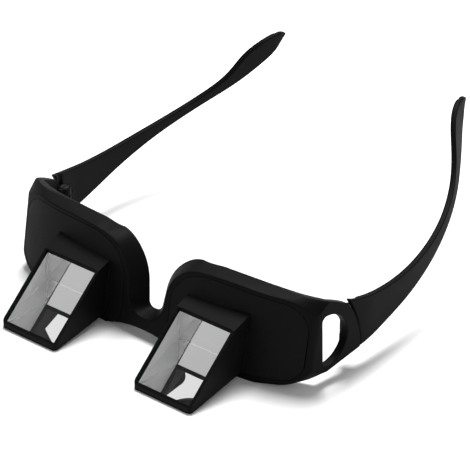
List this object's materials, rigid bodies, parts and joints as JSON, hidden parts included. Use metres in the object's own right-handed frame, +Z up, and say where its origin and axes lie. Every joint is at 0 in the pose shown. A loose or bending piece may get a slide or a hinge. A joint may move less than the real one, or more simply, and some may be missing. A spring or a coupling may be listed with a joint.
{
  "type": "prism bed glasses",
  "caption": "Glasses with two opaque lens panels that each carry a wedge-shaped prism housing, and folding temples, for reading or viewing while lying flat.",
  "frame": {"origin": "middle of the underside of the box round the glasses, laid with the brow edge on the table", "axes": "+X is the wearer's right, -Y the way the wearer looks, +Z up from the table (down when worn)"},
  "size_m": [0.1492, 0.1722, 0.0591],
  "materials": {
    "frame_plastic": "fine matte moulded black",
    "panel_plastic": "fine matte moulded black",
    "prism_glass": "polished faces, ground sides, silvered bottom face",
    "bezel_plastic": "fine matte moulded black",
    "pad_rubber": "soft matte black silicone",
    "temple_plastic": "fine matte moulded black",
    "screw_steel": "small steel screw",
    "nut_brass": "plain brass"
  },
  "bodies": {
    "front": {"front_frame": "frame_plastic", "right_lens_panel": "panel_plastic", "right_prism": "prism_glass", "right_eye_bezel": "bezel_plastic", "right_nose_pad": "pad_rubber", "right_hinge_screw": "screw_steel", "right_hinge_nut": "nut_brass", "left_lens_panel": "panel_plastic", "left_prism": "prism_glass", "left_eye_bezel": "bezel_plastic", "left_nose_pad": "pad_rubber", "left_hinge_screw": "screw_steel", "left_hinge_nut": "nut_brass"},
    "right_temple": {"right_temple": "temple_plastic"},
    "left_temple": {"left_temple": "temple_plastic"}
  },
  "joints": [
    {"name": "right_temple_fold", "type": "hinge", "parent": "front", "child": "right_temple", "pos_m": [0.069, -0.02365, 0.0175], "axis": [0, 0, 1], "range_deg": [0, 79]},
    {"name": "left_temple_fold", "type": "hinge", "parent": "front", "child": "left_temple", "pos_m": [-0.069, -0.02365, 0.0175], "axis": [0, 0, -1], "range_deg": [0, 86]}
  ]
}
